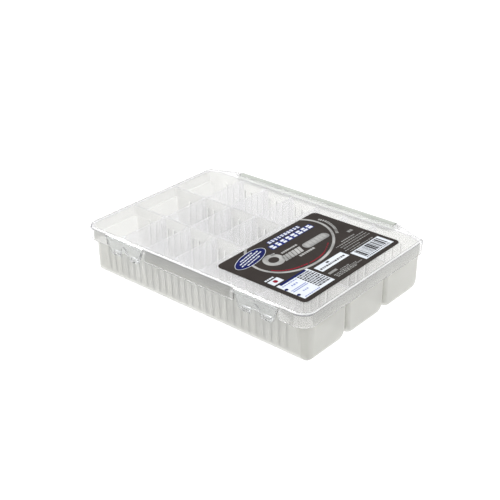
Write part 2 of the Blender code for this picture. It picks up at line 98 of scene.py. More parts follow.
# Hinge
AXIS_Y = 0.0695
AXIS_Z = 0.0370
BAR_R = 0.0030
BAR_HALF = 0.0735
BAR_NOTCH_Y = 0.0660
WEB_STEP = 0.0002
EAR_INNER_X = 0.0740
EAR_OUTER_X = 0.0773
EAR_R = 0.0024
EAR_BORE_R = 0.00105
BAR_BORE_R = 0.00108
PIN_R = 0.0010
PIN_INNER_X = 0.0665
PIN_OUTER_X = 0.0770

# Latches
LATCH_X = 0.0610
LATCH_HALF_TOP = 0.0185
LATCH_HALF_LOW = 0.0140
LATCH_LOW = 0.0240
LATCH_PLATE = 0.0012
LATCH_FACE = -0.0721
LATCH_AXIS_Y = -0.0715
LATCH_AXIS_Z = 0.0354
LATCH_BARREL_R = 0.0009
LATCH_STUB_R = 0.00055
LATCH_STUB = 0.0016
STUB_BORE_R = 0.00063
WINDOW_HALF = 0.0188
WINDOW_TOP = 0.0373
BOSS = 0.0024
BOSS_DROP = 0.0016
BOSS_BACK = -0.0706
HOOK_INNER = 0.0058
HOOK_OUTER = 0.0118
HOOK_TIP = -0.0693
HOOK_LOW = 0.0252
HOOK_TOP = 0.0270
THUMB_DIP = 0.0042
THUMB_DIP_HALF = 0.0048
BUTTON_R = 0.0019
BUTTON_Z = 0.0302
BEAD_R = 0.00042

# Card on the lid
CARD_X = 0.0540
CARD_Y = -0.0057
CARD_WIDTH = 0.0759
CARD_DEPTH = 0.1079
CARD_R = 0.004
CARD_LOW = 0.03945
CARD_TOP = 0.03975
INK = 0.00003
INK_SINK = 0.3
PRINT_MARGIN = 0.0002
PILL_ROUNDING = 0.98

# Print, in card coordinates: U runs along the lines, V up the card
HEADLINE_ROWS = (  # start, end, V, size, pitch
    (-0.0071, 0.0279, 0.0318, 0.0030, 0.0035),
    (-0.0116, 0.0344, 0.0257, 0.0050, 0.0058),
)
HEADLINE_LEAN = 0.15
# Shares of the pitch and the size
HEADLINE_FIELD = (1.02, 1.18)
BLOCKS_TOP = 0.46
BLOCKS_HEIGHT = 0.80
BLOCKS_GAP = 0.12
UPPER_BLOCK = (0.30, 0.46)
BLOCK_LENGTH = (0.50, 0.78)

BADGE_CENTRE = (-0.0316, 0.0266)
BADGE_TURN = 10.5
BADGE_RIM = ((0.0175, 0.0067), (0.01715, 0.00635))
BADGE_FIELD = (0.0171, 0.0063)
BADGE_LINES = (  # V from the centre, half length
    (0.0036, 0.0080),
    (0.0014, 0.0115),
    (-0.0010, 0.0125),
    (-0.0034, 0.0085),
)
# Rings: U, V, half lengths outside and inside, turn
PRINT_RING = (0.0014, 0.0188, (0.0424, 0.0297), (0.0404, 0.0277), 17.2)
EMBLEM_RING = (-0.0230, 0.0133, (0.0083, 0.0076), (0.0044, 0.0036), 15)
EMBLEM_TAIL = [(-0.0170, 0.0170), (-0.0150, 0.0195), (-0.0180, 0.0200), (-0.0200, 0.0185)]
# Rows of bars: start, end, pitch, V, length, height, lean
EMBLEM_BARS = (-0.0160, 0.0010, 0.0033, 0.0090, 0.0028, 0.0066, 0.45)
PILL_BARS = (0.0085, 0.0290, 0.0038, 0.0090, 0.0030, 0.0044, 0.2)

# Blank words: shortest, longest, gap
LONG_WORDS = (0.0010, 0.0032, 0.0006)
EMBLEM_WORDS = (0.0012, 0.0022, 0.0005)
TEXT_WORDS = (0.0008, 0.0026, 0.0007)
SIDE_WORDS = (0.0018, 0.0024, 0.0005)
NOTE_WORDS = (0.0012, 0.0024, 0.0005)
PANEL_WORDS = (0.0008, 0.0020, 0.0006)
LIST_WORDS = (0.0006, 0.0022, 0.0005)
CAPTION_WORDS = (0.0008, 0.0014, 0.0008)
PALE_WORDS = (0.0010, 0.0020, 0.0008)

# Lines of blank words: start, end, V, height, words
EMBLEM_LINES = (
    (-0.0123, 0.0046, 0.0153, 0.0016, EMBLEM_WORDS),
    (-0.0075, 0.0087, 0.0031, 0.0019, EMBLEM_WORDS),
)
TEXT_HEAD = (0.0273, 0.0432, -0.0063, 0.0010, LONG_WORDS)
SIDE_LINE = (0.0426, 0.0495, -0.0008, 0.0024, SIDE_WORDS)
NOTE_LINE = (-0.0497, -0.0401, -0.0013, 0.0014, NOTE_WORDS)
PANEL_LINES = (
    (-0.0039, 0.0002, -0.0164, 0.0016, LONG_WORDS),
    (-0.0140, 0.0135, -0.0193, 0.0017, PANEL_WORDS),
)
CAPTION_LINE = (0.0200, 0.0475, -0.0329, 0.0011, CAPTION_WORDS)
LIST_LINES = [(-0.0322, -0.0190, -0.0142 - row * 0.0021, 0.0015, LIST_WORDS) for row in range(9)]
PALE_LINES = (
    (-0.0480, -0.0330, -0.0145, 0.0010, PANEL_WORDS),
    (-0.0480, -0.0330, -0.0330, 0.0010, PANEL_WORDS),
    (-0.0430, -0.0370, -0.0180, 0.0014, PALE_WORDS),
    (-0.0430, -0.0370, -0.0275, 0.0014, PALE_WORDS),
)
TEXT_HEIGHT = 0.0009
TEXT_LINES = (  # start, end, V
    (0.0178, 0.0505, -0.0088),
    (0.0196, 0.0505, -0.0113),
    (0.0197, 0.0505, -0.0138),
    (0.0179, 0.0347, -0.0165),
    (0.0202, 0.0475, -0.0190),
    (-0.0055, 0.0041, -0.0292),
    (-0.0145, 0.0114, -0.0308),
    (-0.0140, 0.0146, -0.0323),
    (-0.0140, 0.0078, -0.0337),
)

# Single shapes: U, V, length, height
PILL = (0.0181, 0.0090, 0.0268, 0.0072)
TEXT_BAR = (-0.0108, -0.0270, 0.0086, 0.0021)
BLUE_BAR = (-0.0340, -0.0119, 0.0264, 0.0020)
RED_MARK = (-0.0450, -0.0062, 0.0034, 0.0032)
PALE_BARS = ((-0.0410, -0.0222, 0.0150, 0.0008), (-0.0410, -0.0238, 0.0150, 0.0008))
WHITE_FIELDS = (
    (-0.0449, -0.0063, 0.0100, 0.0060),
    (-0.0343, -0.0227, 0.0317, 0.0233),
    (-0.0003, -0.0184, 0.0300, 0.0076),
    (0.0339, -0.0276, 0.0330, 0.0135),
)
STRIPES = (0.0205, 0.0468, -0.0267, 0.0100)  # start, end, V, height
STRIPE_WIDTHS = (0.0004, 0.0004, 0.0008, 0.0012, 0.0020)
STRIPE_GAPS = (0.0004, 0.0006, 0.0010)
SILVER_TRAIL = [
    (0.0458, 0.0278), (0.0466, 0.0215), (0.0443, 0.0146), (0.0414, 0.0096), (0.0365, 0.0040),
]
RED_TRAIL = [
    (-0.0352, 0.0050), (-0.0320, 0.0003), (-0.0264, -0.0036), (-0.0200, -0.0060), (-0.0127, -0.0076),
]
THIN_RED_TRAIL = [
    (-0.0110, -0.0080), (-0.0054, -0.0082), (0.0018, -0.0076), (0.0091, -0.0056), (0.0206, 0.0000),
]

# Boolean operations
ADD = "UNION"
CUT = "DIFFERENCE"
KEEP = "INTERSECT"

TOUCH_GAP = 0.0003
ARC_STEPS = 10
SIDES = (-1, 1)
CORNERS = ((-1, -1), (1, -1), (1, 1), (-1, 1))
BAR_SIDES = 48
EAR_SIDES = 40
PIN_SIDES = 32
BORE_SIDES = 24
STUB_SIDES = 20

# Radii of small rounded edges
TRAY_RIM_R = 0.00025
SHOULDER_LOW_R = 0.0005
TROUGH_INNER_END_R = 0.001
RIB_NOSE_R = 0.00035
DIVIDER_EDGE_R = 0.0002
LID_LOW_R = 0.0003
LEAST_BACK_R = 0.001
LATCH_FOOT_R = 0.0035
LATCH_EDGE_R = 0.0003
BUTTON_EDGE_R = 0.00025
BAR_END_R = 0.0004
PIN_END_R = 0.0002
CARD_EDGE_R = 0.0001

# Ramps in the skirt beside the latches: X where deep and where it ends, Z of its top at both, depth
OUTER_RAMP = (0.0794, 0.0955, 0.0368, 0.0320, 0.0008)
INNER_RAMP = (0.0424, 0.0375, 0.0372, 0.0345, 0.0006)

# Half of the latch's raised rim, from its middle: X from the latch's centre, and Z
BEAD_PATH = [
    (0.0, 0.0328), (0.0021, 0.0321), (0.0033, 0.0302), (0.0041, 0.0274), (0.0058, 0.0252),
    (0.0088, 0.0246), (0.0120, 0.0250), (0.0142, 0.0275), (0.0158, 0.0312), (0.0171, 0.0343),
]
BEAD_SINK = 0.00002
BEAD_END = 0.35

# Cutting tools run past what they cut: out to these planes, or by this much
TOOL_X = 0.11
TOOL_Y = 0.08
TOOL_LOW = 0.02
TOOL_HIGH = 0.05
OVER_RIM = 0.002
BEYOND = 0.001
WELD = 1e-6
FLAT_ANGLE = math.radians(0.2)
SHARP_ANGLE = math.radians(32)

# Parts of a unit normal: square on to an axis, turned away from it, leaning towards it
SQUARE_ON = 0.9
TURNED_AWAY = 0.5
LEANING = 0.2
UPWARD = 0.3
RIB_SIDE_TURN = 0.7
NEARLY_LEVEL = 0.97
NEARLY_UPRIGHT = 0.05
HIGHLIGHT_TURN = 0.85

BESIDE_LATCH_X = LATCH_X - WINDOW_HALF - BOSS
ROW_HALF = (TRAY_BACK_INNER - TRAY_FRONT_INNER - (ROWS - 1) * PARTITION) / ROWS / 2
ROW_PITCH = 2 * ROW_HALF + PARTITION
ROW_CENTRES = [TRAY_FRONT_INNER + ROW_HALF + row * ROW_PITCH for row in range(ROWS)]
ROW_NAMES = ("front", "middle", "back")


# ---- mesh helpers


def arc(centre, radius, start, end, steps=ARC_STEPS):
    angles = [math.radians(start + (end - start) * i / steps) for i in range(steps + 1)]
    return [(centre[0] + radius * math.cos(a), centre[1] + radius * math.sin(a)) for a in angles]


def rounded(corners, radii, steps=ARC_STEPS):
    """An outline through the corners, anticlockwise, each one rounded by its radius."""
    points = []
    count = len(corners)
    for i, (corner, radius) in enumerate(zip(corners, radii)):
        before = corners[i - 1]
        after = corners[(i + 1) % count]
        into = math.atan2(corner[1] - before[1], corner[0] - before[0])
        out = math.atan2(after[1] - corner[1], after[0] - corner[0])
        turn = (out - into) % (2 * math.pi)
        if radius == 0:
            points.append(corner)
            continue
        back = radius * math.tan(turn / 2)
        centre = (
            corner[0] - back * math.cos(into) - radius * math.sin(into),
            corner[1] - back * math.sin(into) + radius * math.cos(into),
        )
        start = math.degrees(into) - 90
        points += arc(centre, radius, start, start + math.degrees(turn), steps)
    return points


def rounded_rectangle(x, y, half_x, half_y, radius, steps):
    corners = [(x + i * half_x, y + j * half_y) for i, j in CORNERS]
    return rounded(corners, [radius] * 4, steps)


def prism(outline, low, high):
    """The outline in plan, filled, from one height to another."""
    shape = bmesh.new()
    bottom = [shape.verts.new((x, y, low)) for x, y in outline]
    top = [shape.verts.new((x, y, high)) for x, y in outline]
    shape.faces.new(list(reversed(bottom)))
    shape.faces.new(top)
    count = len(outline)
    for i in range(count):
        j = (i + 1) % count
        shape.faces.new((bottom[i], bottom[j], top[j], top[i]))
    bmesh.ops.recalc_face_normals(shape, faces=shape.faces)
    return shape


def side_prism(outline, x_low, x_high):
    """The outline in Y and Z, filled, from one X to another."""
    shape = prism(outline, x_low, x_high)
    turn = Matrix(((0, 0, 1, 0), (1, 0, 0, 0), (0, 1, 0, 0), (0, 0, 0, 1)))
    bmesh.ops.transform(shape, matrix=turn, verts=shape.verts)
    return shape


def front_prism(outline, y_low, y_high):
    """The outline in X and Z, filled, from one Y to another."""
    shape = prism(outline, -y_high, -y_low)
    turn = Matrix(((1, 0, 0, 0), (0, 0, -1, 0), (0, 1, 0, 0), (0, 0, 0, 1)))
    bmesh.ops.transform(shape, matrix=turn, verts=shape.verts)
    return shape


def box_solid(x_range, y_range, z_range):
    shape = bmesh.new()
    bmesh.ops.create_cube(shape, size=1.0)
    ranges = [sorted(pair) for pair in (x_range, y_range, z_range)]
    bmesh.ops.scale(shape, verts=shape.verts, vec=[high - low for low, high in ranges])
    bmesh.ops.translate(shape, verts=shape.verts, vec=[(high + low) / 2 for low, high in ranges])
    return shape


def rod_solid(radius, x_range, y, z, sides, round_end=0.0):
    """A round bar along X, its end edges rounded."""
    x_low, x_high = sorted(x_range)
    shape = bmesh.new()
    bmesh.ops.create_cone(
        shape, cap_ends=True, segments=sides, radius1=radius, radius2=radius, depth=x_high - x_low
    )
    bmesh.ops.rotate(shape, verts=shape.verts, matrix=Matrix.Rotation(math.pi / 2, 3, "Y"))
    bmesh.ops.translate(shape, verts=shape.verts, vec=((x_low + x_high) / 2, y, z))
    if round_end:
        ends = (x_low, x_high)

        def end_edge(edge):
            first, second = (v.co.x for v in edge.verts)
            return any(abs(first - x) < WELD and abs(second - x) < WELD for x in ends)

        bevel_where(shape, round_end, 3, end_edge)
    return shape


def hinge_rods(radius, x_inner, x_outer, sides):
    """A rod on the lid's hinge axis at each end of the box."""
    spans = [(side * x_inner, side * x_outer) for side in SIDES]
    return merged(rod_solid(radius, span, AXIS_Y, AXIS_Z, sides) for span in spans)


def latch_rod(radius, x, reach, sides):
    """A rod on a latch's hinge axis, about the latch's middle."""
    return rod_solid(radius, (x - reach, x + reach), LATCH_AXIS_Y, LATCH_AXIS_Z, sides)


def merged(shapes):
    whole = bmesh.new()
    for shape in shapes:
        mesh = bpy.data.meshes.new("part of a tool")
        shape.to_mesh(mesh)
        shape.free()
        whole.from_mesh(mesh)
        bpy.data.meshes.remove(mesh)
    return whole


def bevel_where(shape, radius, steps, wanted):
    edges = [edge for edge in shape.edges if wanted(edge)]
    bmesh.ops.bevel(
        shape, geom=edges, offset=radius, segments=steps, profile=0.5, affect="EDGES", clamp_overlap=False
    )


def level_rim(z):
    """True for an edge at height z between a level face and a steep one."""

    def wanted(edge):
        if any(abs(v.co.z - z) > WELD for v in edge.verts) or len(edge.link_faces) != 2:
            return False
        steep = [abs(face.normal.z) for face in edge.link_faces]
        return max(steep) > SQUARE_ON and min(steep) < TURNED_AWAY

    return wanted


def object_from(name, shape):
    mesh = bpy.data.meshes.new(name)
    shape.to_mesh(mesh)
    shape.free()
    obj = bpy.data.objects.new(name, mesh)
    bpy.context.scene.collection.objects.link(obj)
    return obj


def carve(shape, *steps):
    """Runs the Boolean steps, each (operation, tool), on the shape and returns the result."""
    target = object_from("carved", shape)
    tools = []
    for index, (operation, tool) in enumerate(steps):
        made = object_from(f"tool_{index}", tool)
        modifier = target.modifiers.new(made.name, "BOOLEAN")
        modifier.operation = operation
        modifier.solver = "EXACT"
        modifier.object = made
        tools.append(made)
    evaluated = target.evaluated_get(bpy.context.evaluated_depsgraph_get())
    mesh = bpy.data.meshes.new_from_object(evaluated)
    result = bmesh.new()
    result.from_mesh(mesh)
    bpy.data.meshes.remove(mesh)
    for obj in [target] + tools:
        data = obj.data
        bpy.data.objects.remove(obj)
        bpy.data.meshes.remove(data)
    bmesh.ops.remove_doubles(result, verts=result.verts, dist=WELD)
    return result


def finished(name, shape, body, nodes, material, slot, soften=0.0):
    """Makes the piece, smooth where its faces nearly agree, on its body and in place of its CAD nodes."""
    bmesh.ops.dissolve_limit(
        shape, angle_limit=FLAT_ANGLE, verts=shape.verts, edges=shape.edges, delimit={"NORMAL"}
    )
    for face in shape.faces:
        face.smooth = True
    if not soften:
        for edge in shape.edges:
            edge.smooth = len(edge.link_faces) == 2 and edge.calc_face_angle() < SHARP_ANGLE
    obj = object_from(name, shape)
    if soften:
        bevel = obj.modifiers.new("soft edges", "BEVEL")
        bevel.width = soften
        bevel.segments = 2
        bevel.limit_method = "ANGLE"
        bevel.angle_limit = SHARP_ANGLE
        bevel.use_clamp_overlap = False
    weighted = obj.modifiers.new("face weighted normals", "WEIGHTED_NORMAL")
    weighted.keep_sharp = True
    obj.data.materials.append(material)
    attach(obj, body)
    if nodes:
        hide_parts(*nodes)
    return obj


def paint(obj, *rules):
    """Gives a face the first material whose rule it meets; the others keep the piece's own."""
    for material, _ in rules:
        obj.data.materials.append(material)
    for face in obj.data.polygons:
        for index, (_, rule) in enumerate(rules, 1):
            if rule(face):
                face.material_index = index
                break


# ---- materials

NOISE_RANGE = (0.3, 0.7)
FACING_RANGE = (0.2, 0.95)
PLASTIC_IOR = 1.49
POLISHED = (0.02, 0.05)
SATIN = (0.34, 0.46)
LID_RIPPLE = 0.000005
TRAY_GRAIN = 0.00001
CARD_SHADE = (0.9, 0.9, 0.9)


def shader_of(name):
    """A new material, its node tree and its Principled shader."""
    made = bpy.data.materials.new(name)
    made.use_nodes = True
    tree = made.node_tree
    return made, tree, tree.nodes["Principled BSDF"]


def noise(tree, scale, detail=3.0, stretch=(1, 1, 1)):
    """Noise over the object's own coordinates, in cycles per metre."""
    where = tree.nodes.new("ShaderNodeTexCoord")
    mapping = tree.nodes.new("ShaderNodeMapping")
    mapping.inputs["Scale"].default_value = stretch
    tree.links.new(where.outputs["Object"], mapping.inputs["Vector"])
    texture = tree.nodes.new("ShaderNodeTexNoise")
    texture.inputs["Scale"].default_value = scale
    texture.inputs["Detail"].default_value = detail
    tree.links.new(mapping.outputs["Vector"], texture.inputs["Vector"])
    return texture.outputs["Fac"]


def map_range(tree, value, source, target):
    """Maps a value from one range to another."""
    ramp = tree.nodes.new("ShaderNodeMapRange")
    for name, number in zip(("From Min", "From Max", "To Min", "To Max"), (*source, *target)):
        ramp.inputs[name].default_value = number
    tree.links.new(value, ramp.inputs["Value"])
    return ramp.outputs["Result"]


def spread(tree, value, low, high):
    """Maps most of a noise's range to another range."""
    return map_range(tree, value, NOISE_RANGE, (low, high))


def coloured(tree, shader, share, first, second):
    """Mixes two colours for the shader: share is how much is the second."""
    mix = tree.nodes.new("ShaderNodeMix")
    mix.data_type = "RGBA"
    mix.inputs["A"].default_value = (*first, 1)
    mix.inputs["B"].default_value = (*second, 1)
    tree.links.new(share, mix.inputs["Factor"])
    tree.links.new(mix.outputs["Result"], shader.inputs["Base Color"])


def roughened(tree, shader, value, rough):
    tree.links.new(spread(tree, value, *rough), shader.inputs["Roughness"])


def bumped(tree, shader, value, distance):
    bump = tree.nodes.new("ShaderNodeBump")
    bump.inputs["Distance"].default_value = distance
    tree.links.new(value, bump.inputs["Height"])
    tree.links.new(bump.outputs["Normal"], shader.inputs["Normal"])


def transparent(tree, tint):
    clear = tree.nodes.new("ShaderNodeBsdfTransparent")
    clear.inputs["Color"].default_value = (*tint, 1)
    return clear.outputs["BSDF"]


def mixed_surface(tree, share, first, second):
    """Makes the material's surface a mix of two shaders: share is how much is the second."""
    mix = tree.nodes.new("ShaderNodeMixShader")
    for value, socket in zip((share, first, second), mix.inputs):
        tree.links.new(value, socket)
    tree.links.new(mix.outputs["Shader"], tree.nodes["Material Output"].inputs["Surface"])


def lit_through(tree, shader, tint):
    """Lamps reach what is behind the clear plastic, which it only tints."""
    path = tree.nodes.new("ShaderNodeLightPath")
    mixed_surface(tree, path.outputs["Is Shadow Ray"], shader.outputs["BSDF"], transparent(tree, tint))


def half_clear(tree, shader, tint, share):
    """Mixes the shader with what is behind it: share is how much is solid, face on and edge on."""
    facing = tree.nodes.new("ShaderNodeLayerWeight")
    facing.inputs["Blend"].default_value = 0.5
    solid = map_range(tree, facing.outputs["Facing"], FACING_RANGE, share)
    mixed_surface(tree, solid, transparent(tree, tint), shader.outputs["BSDF"])


def height_share(tree, coordinates, heights, shares=(0, 1)):
    """Goes from one share to another between two heights in the coordinates."""
    where = tree.nodes.new("ShaderNodeTexCoord")
    split = tree.nodes.new("ShaderNodeSeparateXYZ")
    tree.links.new(where.outputs[coordinates], split.inputs["Vector"])
    return map_range(tree, split.outputs["Z"], heights, shares)


def clear_plastic(
    name, first, second, clear=1.0, rough=POLISHED, ripple=LID_RIPPLE, heights=None, shade=None
):
    """Polished clear polystyrene: its two tints are mottled, or go from one height to another."""
    made, tree, shader = shader_of(name)
    if heights:
        share = height_share(tree, "Object", heights)
    else:
        share = spread(tree, noise(tree, 25), 0, 1)
    coloured(tree, shader, share, first, second)
    roughened(tree, shader, noise(tree, 180, 5, (1, 0.25, 1)), rough)
    shader.inputs["IOR"].default_value = PLASTIC_IOR
    shader.inputs["Transmission Weight"].default_value = clear
    bumped(tree, shader, noise(tree, 40, 1), ripple)
    lit_through(tree, shader, shade or first)
    return made


def milky_plastic(name, first, second, share, rough=SATIN, grain=TRAY_GRAIN):
    """Translucent polypropylene: cloudy tint, satin surface and a fine moulded grain."""
    made, tree, shader = shader_of(name)
    coloured(tree, shader, spread(tree, noise(tree, 45, 4), 0, 1), first, second)
    roughened(tree, shader, noise(tree, 220, 4), rough)
    shader.inputs["IOR"].default_value = PLASTIC_IOR
    bumped(tree, shader, noise(tree, 2200, 2), grain)
    half_clear(tree, shader, second, share)
    return made


def steel(name):
    made, tree, shader = shader_of(name)
    shader.inputs["Metallic"].default_value = 1.0
    coloured(tree, shader, noise(tree, 900, 4, (0.1, 1, 1)), (0.46, 0.46, 0.47), (0.66, 0.66, 0.66))
    roughened(tree, shader, noise(tree, 1500, 3, (0.08, 1, 1)), (0.2, 0.42))
    return made


def film(name, first, second, rough=(0.30, 0.42)):
    """Ink on a laminated card."""
    made, tree, shader = shader_of(name)
    coloured(tree, shader, spread(tree, noise(tree, 90, 5), 0, 1), first, second)
    roughened(tree, shader, noise(tree, 400, 3), rough)
    shader.inputs["Specular IOR Level"].default_value = 0.04
    bumped(tree, shader, noise(tree, 700, 2), 0.000008)
    lit_through(tree, shader, CARD_SHADE)
    return made


TRAY_PLASTIC = milky_plastic("tray plastic", (0.77, 0.77, 0.745), (0.84, 0.84, 0.82), (0.30, 0.72))
RIB_PLASTIC = milky_plastic("rib plastic", (0.86, 0.86, 0.845), (0.91, 0.91, 0.90), (0.55, 0.75))
# Painted shade: dark rib sides that stand in for the dark lines refraction draws at the rib edges
RIB_SIDE_PAINTED_SHADE = milky_plastic(
    "rib side painted shade plastic", (0.25, 0.255, 0.245), (0.31, 0.315, 0.30), (0.65, 0.90)
)
# Painted shade: the tray rim and divider tops darkened to hold back the light they catch from above
TOP_PAINTED_SHADE_PLASTIC = milky_plastic("painted shade top plastic", (0.50, 0.50, 0.52), (0.58, 0.58, 0.60), (0.30, 0.60))
BAR_PLASTIC = milky_plastic(
    "thick tray plastic", (0.42, 0.445, 0.41), (0.48, 0.505, 0.465), (0.88, 0.96), (0.45, 0.55)
)
DIVIDER_PLASTIC = milky_plastic(
    "divider plastic", (0.91, 0.91, 0.925), (0.94, 0.94, 0.955), (0.12, 0.50), (0.22, 0.34), 0.000006
)
LID_PLASTIC = clear_plastic("lid plastic", (0.965, 0.965, 0.965), (0.975, 0.973, 0.972), 0.88)
# Painted shade: the skirt goes darker towards its top, under the rounded top edge
SKIRT_PAINTED_SHADE_PLASTIC = clear_plastic(
    "lid skirt painted shade plastic",
    (0.82, 0.82, 0.81),
    (0.70, 0.705, 0.71),
    rough=(0.03, 0.08),
    ripple=2 * LID_RIPPLE,
    heights=(LID_SKIRT_LOW, LID_TOP),
    shade=(0.78, 0.78, 0.78),
)
# Painted shade: dark lines along the lid's rounded edges in place of refraction
EDGE_PAINTED_SHADE_PLASTIC = clear_plastic("lid edge painted shade plastic", (0.44, 0.44, 0.47), (0.50, 0.50, 0.53), 0.75)
# Painted highlight: a near-white band on the front and right rounded edge in place of the lamp's reflection
PAINTED_HIGHLIGHT_PLASTIC = clear_plastic(
    "lid painted highlight plastic", (0.97, 0.97, 0.97), (0.985, 0.985, 0.985), 0.5
)
LATCH_PLASTIC = clear_plastic(
    "latch plastic", (0.955, 0.968, 0.98), (0.975, 0.982, 0.99), 0.97, ripple=2 * LID_RIPPLE
)
STEEL = steel("drawn steel")
CARD_INK = film("card ink", (0.026, 0.021, 0.019), (0.034, 0.028, 0.025))
WHITE_INK = film("white ink", (0.58, 0.62, 0.67), (0.68, 0.71, 0.75))
SILVER_INK = film("silver ink", (0.22, 0.22, 0.215), (0.44, 0.44, 0.43), (0.22, 0.34))
GREY_INK = film("grey ink", (0.20, 0.20, 0.20), (0.30, 0.30, 0.29))
BLUE_INK = film("blue ink", (0.003, 0.006, 0.070), (0.006, 0.011, 0.100))
HEADLINE_BLUE = film("headline blue ink", (0.010, 0.018, 0.12), (0.018, 0.028, 0.17))
PALE_BLUE_INK = film("pale blue ink", (0.16, 0.20, 0.42), (0.24, 0.28, 0.52))
RED_INK = film("red ink", (0.21, 0.004, 0.018), (0.29, 0.007, 0.026))
DARK_INK = film("dark ink", (0.025, 0.024, 0.026), (0.050, 0.048, 0.050))


# ---- tray


def wall_half(z, inset=0.0):
    return ROW_HALF - DRAFT * (RIM_TOP - z) - inset


def trough_section(centre, inset, low, high, radius):
    """A row's section in Y and Z: leaning walls, and round corners at the floor."""
    half_top = wall_half(high, inset)
    half_low = wall_half(low, inset)
    corners = [
        (centre + half_top, high),
        (centre - half_top, high),
        (centre - half_low, low),
        (centre + half_low, low),
    ]
    return rounded(corners, [0, 0, radius, radius])


def end_rim(top):
    """True for an edge of an end face below its top one."""

    def wanted(edge):
        at_one_end = edge.verts[0].co.x * edge.verts[1].co.x > 0
        return at_one_end and any(v.co.z < top - WELD for v in edge.verts)

    return wanted


def trough_outer(centre):
    section = trough_section(centre, -WALL, 0.0, TROUGH_TOP, TROUGH_R)
    shape = side_prism(section, -TRAY_HALF_X, TRAY_HALF_X)
    bevel_where(shape, TROUGH_END_R, 7, end_rim(TROUGH_TOP))
    return shape


def trough_inner(centre, half_x):
    top = RIM_TOP + OVER_RIM
    section = trough_section(centre, 0.0, FLOOR, top, TROUGH_R - WALL)
    shape = side_prism(section, -half_x, half_x)
    bevel_where(shape, TROUGH_INNER_END_R, 3, end_rim(top))
    return shape


def chamfered_outline(half_x, front, back, corner_r, offset, back_r):
    """A plan outline with two round front corners and two chamfered back corners."""
    run = math.hypot(CHAMFER_X, CHAMFER_Y)
    normal_x = CHAMFER_Y / run
    normal_y = CHAMFER_X / run
    reach = normal_x * LENGTH / 2 + normal_y * (WIDTH / 2 - CHAMFER_Y) - offset
    side_y = (reach - normal_x * half_x) / normal_y
    back_x = (reach - normal_y * back) / normal_x
    corners = [
        (-half_x, front),
        (half_x, front),
        (half_x, side_y),
        (back_x, back),
        (-back_x, back),
        (-half_x, side_y),
    ]
    return rounded(corners, [corner_r] * 2 + [back_r] * 4)


def corner_shapes(half_x, front, radius):
    """What rounding the two upright front corners takes away."""
    bite = 0.00003
    reach = 0.004
    shapes = []
    for side in SIDES:
        x = side * (half_x - bite)
        y = front + bite
        centre = (x - side * radius, y + radius)
        outline = [(centre[0] + side * dx, centre[1] - dy) for dx, dy in arc((0.0, 0.0), radius, 0, 90)]
        outline += [(centre[0], y - reach), (x + side * reach, y - reach), (x + side * reach, centre[1])]
        shapes.append(prism(outline, -BEYOND, TOOL_HIGH))
    return merged(shapes)


def rib_plan(x, wall_y, side):
    """A rib seen from above: its tip is rounded, and its root is buried in the wall."""
    half = RIB_WIDTH / 2
    tip = wall_y - side * RIB_DEPTH
    root = wall_y + side * WALL / 2
    points = [(x - half, root)]
    for end, angles in ((-1, (0, 30, 60, 90)), (1, (90, 60, 30, 0))):
        for angle in angles:
            a = math.radians(angle)
            along = half - RIB_NOSE_R * (1 - math.cos(a))
            points.append((x + end * along, tip + side * RIB_NOSE_R * (1 - math.sin(a))))
    points.append((x + half, root))
    return points


def rib_solids():
    """The upright ribs on both walls of every row, leaning with the walls."""
    top = SHOULDER_STEP + WALL / 2
    shapes = []
    for centre in ROW_CENTRES:
        for side in SIDES:
            low_y = centre + side * wall_half(RIB_LOW)
            lean = side * (wall_half(top) - wall_half(RIB_LOW))
            for index in range(-RIBS_EACH_SIDE, RIBS_EACH_SIDE + 1):
                shape = prism(rib_plan(index * SLOT_PITCH, low_y, side), RIB_LOW, top)
                for vert in shape.verts:
                    if vert.co.z > (RIB_LOW + top) / 2:
                        vert.co.y += lean
                shapes.append(shape)
    return merged(shapes)


def mouth_shape(row):
    """The wider top of one row, where the wall steps out behind the lid's skirt."""
    half_x = SHOULDER_HALF_X - WALL
    centre = ROW_CENTRES[row]
    low_y = centre - ROW_HALF
    high_y = centre + ROW_HALF
    radius = 0
    if row == 0:
        low_y = SHOULDER_FRONT + WALL
        radius = SHOULDER_CORNER_R - WALL
    corners = [(-half_x, low_y), (half_x, low_y), (half_x, high_y), (-half_x, high_y)]
    return prism(rounded(corners, [radius, radius, 0, 0]), SHOULDER_STEP, RIM_TOP + OVER_RIM)


def shoulder_outline(grow, back_r):
    """The rim's shoulder in plan, or a bigger one that keeps the same back."""
    return chamfered_outline(
        SHOULDER_HALF_X + grow,
        SHOULDER_FRONT - grow,
        TRAY_BACK_INNER + WALL,
        SHOULDER_CORNER_R,
        CHAMFER_CLEARANCE + grow,
        back_r,
    )


def corner_roofs():
    block = box_solid((-LENGTH, LENGTH), (ROW_CENTRES[-1] - ROW_HALF / 2, WIDTH), (CORNER_ROOF, LENGTH))
    return carve(block, (CUT, prism(shoulder_outline(WALL, 0.0), 0.0, 2 * LENGTH)))


def cavity():
    """What is taken out of the tray."""
    half_x = TRAY_HALF_X - WALL
    steps = [(ADD, trough_inner(centre, half_x)) for centre in ROW_CENTRES[1:]]
    front = ROW_CENTRES[0] - wall_half(SHOULDER_STEP)
    steps.append((CUT, corner_shapes(half_x, front, TRAY_FRONT_CORNER_R - WALL)))
    steps.append((CUT, rib_solids()))
    steps += [(ADD, mouth_shape(row)) for row in range(ROWS)]
    steps.append((CUT, corner_roofs()))
    return carve(trough_inner(ROW_CENTRES[0], half_x), *steps)


